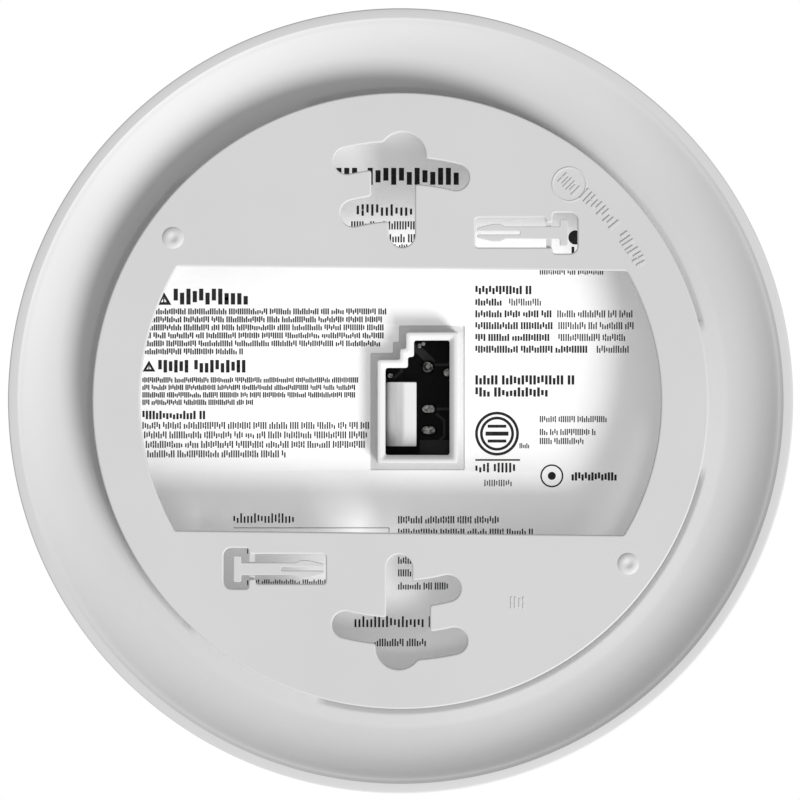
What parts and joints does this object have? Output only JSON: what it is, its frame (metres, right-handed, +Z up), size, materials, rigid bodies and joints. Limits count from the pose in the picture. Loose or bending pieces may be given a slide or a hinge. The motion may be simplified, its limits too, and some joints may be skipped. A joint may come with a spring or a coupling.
{
  "type": "smoke detector",
  "caption": "Round battery smoke alarm with a flared rim, held on a twist-off mounting bracket with keyhole slots; side battery drawer and test button.",
  "frame": {"origin": "centre of the bracket's back face, on the wall plane", "axes": "+Y out of the alarm's back into the wall, along the round body's axis; +Z up with the label upright; -Y towards the room"},
  "size_m": [0.142, 0.043, 0.142],
  "materials": {
    "bracket_plastic": "moulded plastic, fine matt",
    "housing_plastic": "moulded plastic, fine matt",
    "cover_plastic": "moulded plastic, satin",
    "label_paper": "printed label film",
    "board_laminate": "black solder mask",
    "white_nylon": "moulded nylon",
    "black_epoxy": "moulded epoxy",
    "tinned_steel": "tin plated",
    "brass": "plain brass",
    "screen_mesh": "fine woven wire",
    "tan_coating": "conformal coating",
    "capacitor_sleeve": "shrunk sleeve",
    "red_lens": "tinted epoxy lens",
    "clear_acrylic": "clear moulded acrylic",
    "battery_jacket": "printed metal jacket, plain"
  },
  "bodies": {
    "bracket": {"mounting_bracket": "bracket_plastic", "locking_pin_upper": "bracket_plastic", "locking_pin_lower": "bracket_plastic"},
    "alarm": {"rear_housing": "housing_plastic", "front_cover": "cover_plastic", "rating_label": "label_paper", "circuit_board": "board_laminate", "header_block": "white_nylon", "chamber_base": "white_nylon", "chamber_can": "tinned_steel", "insect_screen": "screen_mesh", "collector_plate": "tinned_steel", "source_holder": "brass", "horn_resonator": "white_nylon", "piezo_disc": "brass", "horn_contact_a": "tinned_steel", "horn_contact_b": "tinned_steel", "horn_contact_c": "tinned_steel", "alarm_chip": "black_epoxy", "reservoir_capacitor": "capacitor_sleeve", "film_capacitor": "tan_coating", "resistor_1": "tan_coating", "resistor_2": "tan_coating", "resistor_3": "tan_coating", "status_led": "red_lens", "light_pipe": "clear_acrylic", "test_switch": "black_epoxy", "battery_contact_positive": "tinned_steel", "battery_contact_negative": "tinned_steel"},
    "drawer": {"battery_drawer": "cover_plastic", "battery_9v": "battery_jacket", "battery_terminal_positive": "tinned_steel", "battery_terminal_negative": "tinned_steel"},
    "button": {"test_button": "cover_plastic", "switch_plunger": "tinned_steel"}
  },
  "joints": [
    {"name": "bayonet_twist", "type": "hinge", "parent": "bracket", "child": "alarm", "pos_m": [0, 0, 0], "axis": [0, -1, 0], "range_deg": [0, 20]},
    {"name": "drawer_slide", "type": "slide", "parent": "alarm", "child": "drawer", "axis": [1, 0, 0], "range_m": [0, 0.03]},
    {"name": "button_press", "type": "slide", "parent": "alarm", "child": "button", "axis": [0, 1, 0], "range_m": [0, 0.0012], "stiffness_N_per_m": 500, "springref_m": -0.0005}
  ]
}
